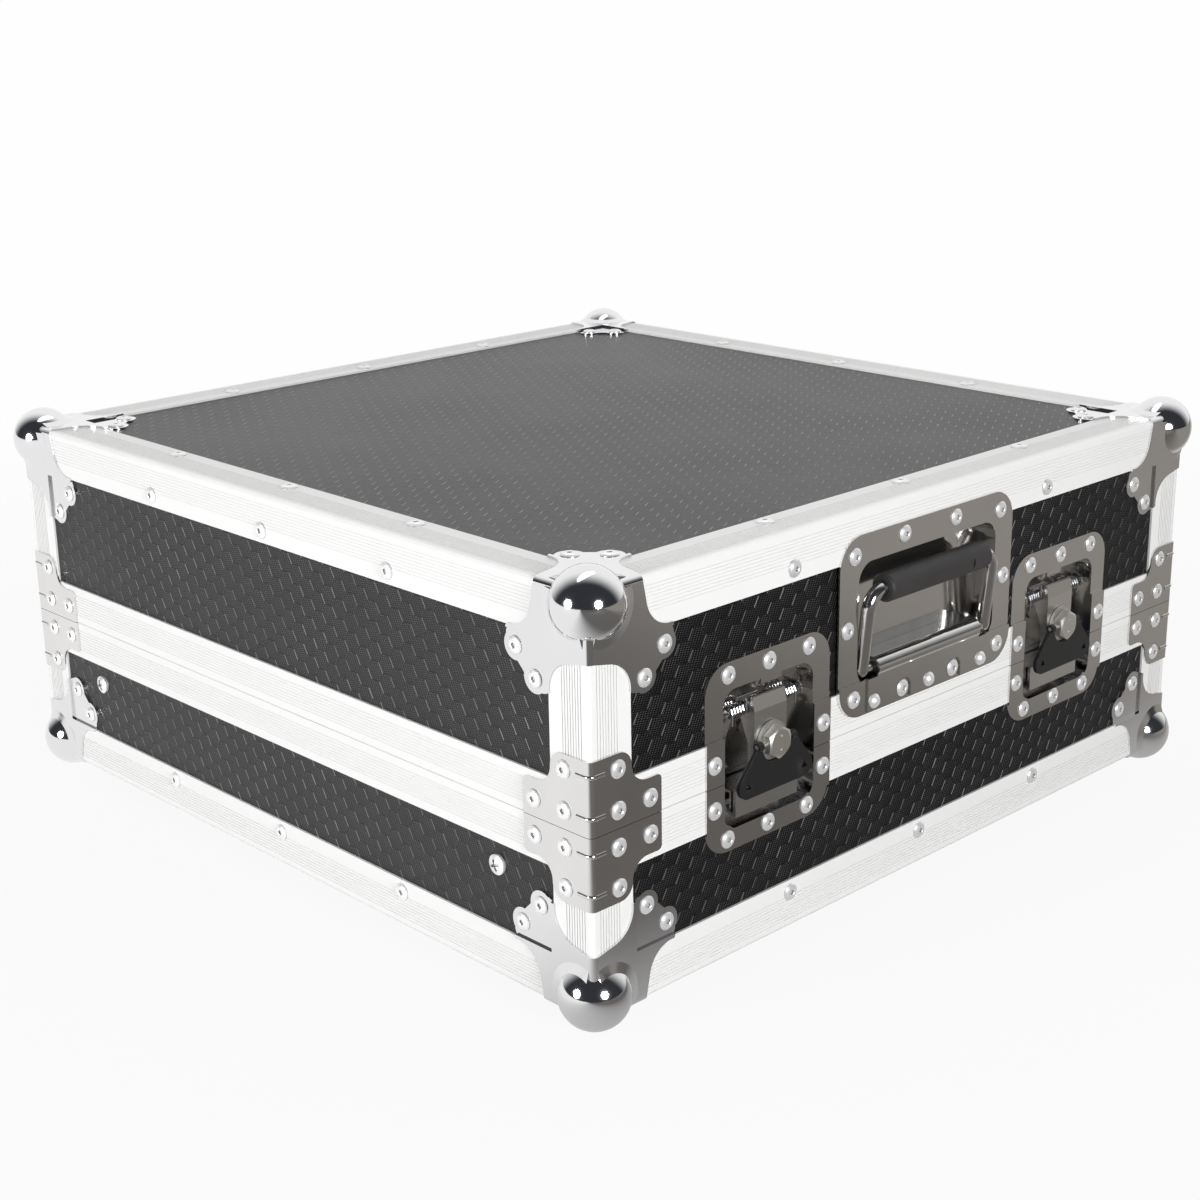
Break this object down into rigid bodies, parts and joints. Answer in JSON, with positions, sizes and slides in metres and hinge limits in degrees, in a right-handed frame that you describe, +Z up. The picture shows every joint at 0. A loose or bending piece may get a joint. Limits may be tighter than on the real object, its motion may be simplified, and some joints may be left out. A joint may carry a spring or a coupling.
{
  "type": "mixer rack case",
  "caption": "Plywood rack case with a hinged lid, twist latches, a sprung recessed handle, ball corners and internal rack rails.",
  "frame": {"origin": "on the floor under the middle of the closed case", "axes": "+Z up, the latches and the handle face -Y, +X to the right seen from the latches, the hinges are on +Y"},
  "size_m": [0.5788, 0.5893, 0.2644],
  "materials": {
    "laminate": "plywood faced with black hexagon-embossed laminate",
    "extrusion": "satin anodised extrusion with fine flutes",
    "pressed_steel": "bright zinc or nickel plate",
    "rivet_steel": "plated",
    "spring_steel": "spring wire",
    "key_metal": "satin casting",
    "wing_black": "satin black",
    "grip_rubber": "matt moulded rubber",
    "foam": "open-cell foam",
    "batten_wood": "bare plywood"
  },
  "bodies": {
    "base": {"latch_base_dish_left": "pressed_steel", "latch_base_dish_right": "pressed_steel", "hinge_base_leaves": "pressed_steel", "hinge_pins": "pressed_steel", "base_bottom_panel": "laminate", "base_front_panel": "laminate", "base_back_panel": "laminate", "base_left_panel": "laminate", "base_right_panel": "laminate", "base_bottom_edging": "extrusion", "base_corner_edging": "extrusion", "base_rim_extrusion": "extrusion", "base_ball_corners": "pressed_steel", "base_corner_braces": "pressed_steel", "base_rivets": "rivet_steel", "base_foam": "foam", "rail_batten_left": "batten_wood", "rail_batten_right": "batten_wood", "rack_rail_left": "extrusion", "rack_rail_right": "extrusion", "rail_screws": "rivet_steel", "rail_nuts": "rivet_steel", "rubber_feet": "grip_rubber", "foot_screws": "rivet_steel"},
    "lid": {"lid_top_panel": "laminate", "lid_front_panel": "laminate", "lid_back_panel": "laminate", "lid_left_panel": "laminate", "lid_right_panel": "laminate", "lid_top_edging": "extrusion", "lid_corner_edging": "extrusion", "lid_rim_extrusion": "extrusion", "lid_ball_corners": "pressed_steel", "lid_corner_braces": "pressed_steel", "lid_rivets": "rivet_steel", "lid_foam": "foam", "handle_dish": "pressed_steel", "handle_bottom_plate": "pressed_steel", "handle_cover": "pressed_steel", "handle_springs": "spring_steel", "latch_lid_dish_left": "pressed_steel", "latch_lid_dish_right": "pressed_steel", "latch_pivot_pins": "pressed_steel", "latch_springs": "spring_steel", "hinge_lid_leaves": "pressed_steel"},
    "handle": {"handle_bail": "pressed_steel", "handle_grip": "grip_rubber"},
    "arm_left": {"latch_arm_left": "pressed_steel"},
    "tongue_left": {"latch_tongue_left": "pressed_steel"},
    "key_left": {"latch_key_left": "key_metal"},
    "wing_left": {"latch_wing_left": "wing_black"},
    "arm_right": {"latch_arm_right": "pressed_steel"},
    "tongue_right": {"latch_tongue_right": "pressed_steel"},
    "key_right": {"latch_key_right": "key_metal"},
    "wing_right": {"latch_wing_right": "wing_black"}
  },
  "joints": [
    {"name": "lid_hinge", "type": "hinge", "parent": "base", "child": "lid", "pos_m": [0, 0.2882, 0.1205], "axis": [-1, 0, 0], "range_deg": [0, 100]},
    {"name": "handle_swing", "type": "hinge", "parent": "lid", "child": "handle", "pos_m": [0, -0.2818, 0.1555], "axis": [1, 0, 0], "range_deg": [0, 83], "stiffness_Nm_per_rad": 0.3, "springref_deg": -28.65},
    {"name": "arm_swing_left", "type": "hinge", "parent": "lid", "child": "arm_left", "pos_m": [-0.141, -0.2757, 0.1572], "axis": [-1, 0, 0], "range_deg": [0, 6]},
    {"name": "tongue_slide_left", "type": "slide", "parent": "arm_left", "child": "tongue_left", "axis": [0, 0, -1], "range_m": [0, 0.0045]},
    {"name": "key_turn_left", "type": "hinge", "parent": "arm_left", "child": "key_left", "pos_m": [-0.141, -0.283, 0.1368], "axis": [0, -1, 0], "range_deg": [0, 180]},
    {"name": "wing_fold_left", "type": "hinge", "parent": "key_left", "child": "wing_left", "pos_m": [-0.141, -0.28775, 0.1368], "axis": [-1, 0, 0], "range_deg": [0, 90]},
    {"name": "arm_swing_right", "type": "hinge", "parent": "lid", "child": "arm_right", "pos_m": [0.141, -0.2757, 0.1572], "axis": [-1, 0, 0], "range_deg": [0, 6]},
    {"name": "tongue_slide_right", "type": "slide", "parent": "arm_right", "child": "tongue_right", "axis": [0, 0, -1], "range_m": [0, 0.0045]},
    {"name": "key_turn_right", "type": "hinge", "parent": "arm_right", "child": "key_right", "pos_m": [0.141, -0.283, 0.1368], "axis": [0, -1, 0], "range_deg": [0, 180]},
    {"name": "wing_fold_right", "type": "hinge", "parent": "key_right", "child": "wing_right", "pos_m": [0.141, -0.28775, 0.1368], "axis": [-1, 0, 0], "range_deg": [0, 90]}
  ],
  "couplings": [
    {"joint": "arm_swing_left", "follows": "key_turn_left", "ratio": 0.033333},
    {"joint": "tongue_slide_left", "follows": "key_turn_left", "m_per_rad": 0.001432},
    {"joint": "arm_swing_right", "follows": "key_turn_right", "ratio": 0.033333},
    {"joint": "tongue_slide_right", "follows": "key_turn_right", "m_per_rad": 0.001432}
  ]
}
